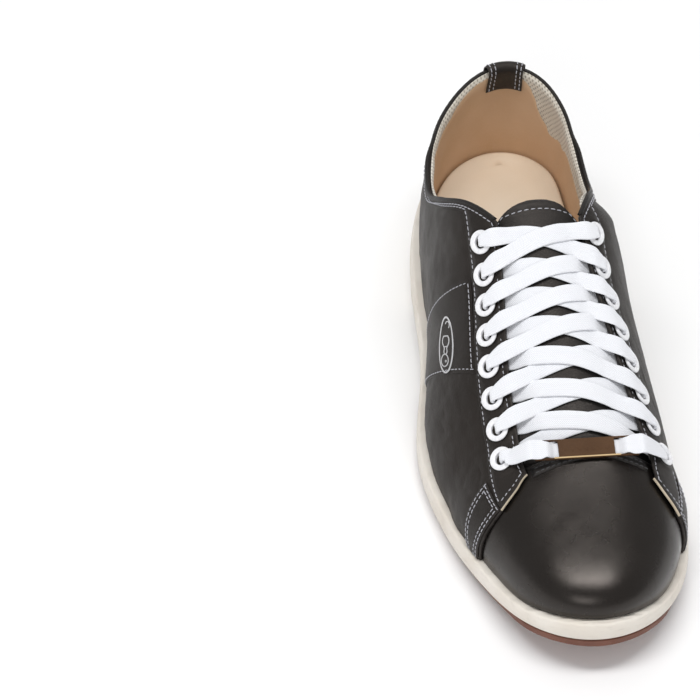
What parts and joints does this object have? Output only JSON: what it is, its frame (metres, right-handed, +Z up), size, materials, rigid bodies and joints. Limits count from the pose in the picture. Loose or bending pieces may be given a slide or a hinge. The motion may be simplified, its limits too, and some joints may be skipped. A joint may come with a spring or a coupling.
{
  "type": "bowling shoe",
  "caption": "Right-foot lace-up bowling shoe: black leather upper, off-white raised-arch sole with separate heel, flat white lace through enamelled eyelets, slotted lace tag.",
  "frame": {"origin": "on the ground under the middle of the shoe's length and width", "axes": "+Z up, toe towards -Y and heel towards +Y, the outer (lateral) side towards -X"},
  "size_m": [0.1129, 0.2986, 0.1092],
  "materials": {
    "tread_rubber": "matte moulded rubber, brown",
    "heel_rubber": "matte moulded rubber, off-white",
    "midsole_white": "satin off-white, buffed side wall",
    "cork": "granular cork",
    "shank_steel": "brushed",
    "insole_board": "fibre board",
    "liner_leather": "smooth beige leather",
    "vamp_leather": "polished smooth black",
    "quarter_leather": "fine grained black, satin",
    "trim_leather": "fine grained black, satin",
    "tongue_leather": "soft black leather",
    "lining_fabric": "off-white spacer mesh",
    "backing_fabric": "dark woven backing",
    "stiffener": "thermoformed sheet",
    "eyelet_enamel": "gloss white enamel",
    "lace_cotton": "flat woven white",
    "tag_leather": "brown leather",
    "badge_print": "grey printed motif"
  },
  "bodies": {
    "shoe": {"outsole_forepart": "tread_rubber", "heel_lift": "heel_rubber", "midsole": "midsole_white", "cork_filler": "cork", "shank": "shank_steel", "insole_board": "insole_board", "sock_liner": "liner_leather", "vamp": "vamp_leather", "vamp_lining": "lining_fabric", "toe_puff": "stiffener", "lateral_quarter": "quarter_leather", "medial_quarter": "quarter_leather", "lateral_lining": "lining_fabric", "medial_lining": "lining_fabric", "heel_lining": "liner_leather", "heel_counter": "stiffener", "lateral_eyestay": "trim_leather", "medial_eyestay": "trim_leather", "lateral_facing_lining": "backing_fabric", "medial_facing_lining": "backing_fabric", "lateral_side_bar": "trim_leather", "medial_side_bar": "trim_leather", "saddle_panel": "trim_leather", "badge_oval": "badge_print", "heel_tab": "trim_leather", "collar_binding": "trim_leather", "lateral_eyelets": "eyelet_enamel", "medial_eyelets": "eyelet_enamel", "lace": "lace_cotton"},
    "tongue": {"tongue": "tongue_leather", "tongue_lining": "backing_fabric"},
    "lace_tag": {"lace_tag": "tag_leather"}
  },
  "joints": [
    {"name": "tongue_press", "type": "hinge", "parent": "shoe", "child": "tongue", "pos_m": [0.009, -0.087, 0.045], "axis": [1, 0, 0], "range_deg": [-8, 0]},
    {"name": "tag_slide", "type": "slide", "parent": "shoe", "child": "lace_tag", "axis": [1, 0, 0], "range_m": [-0.0012, 0.0012]}
  ]
}
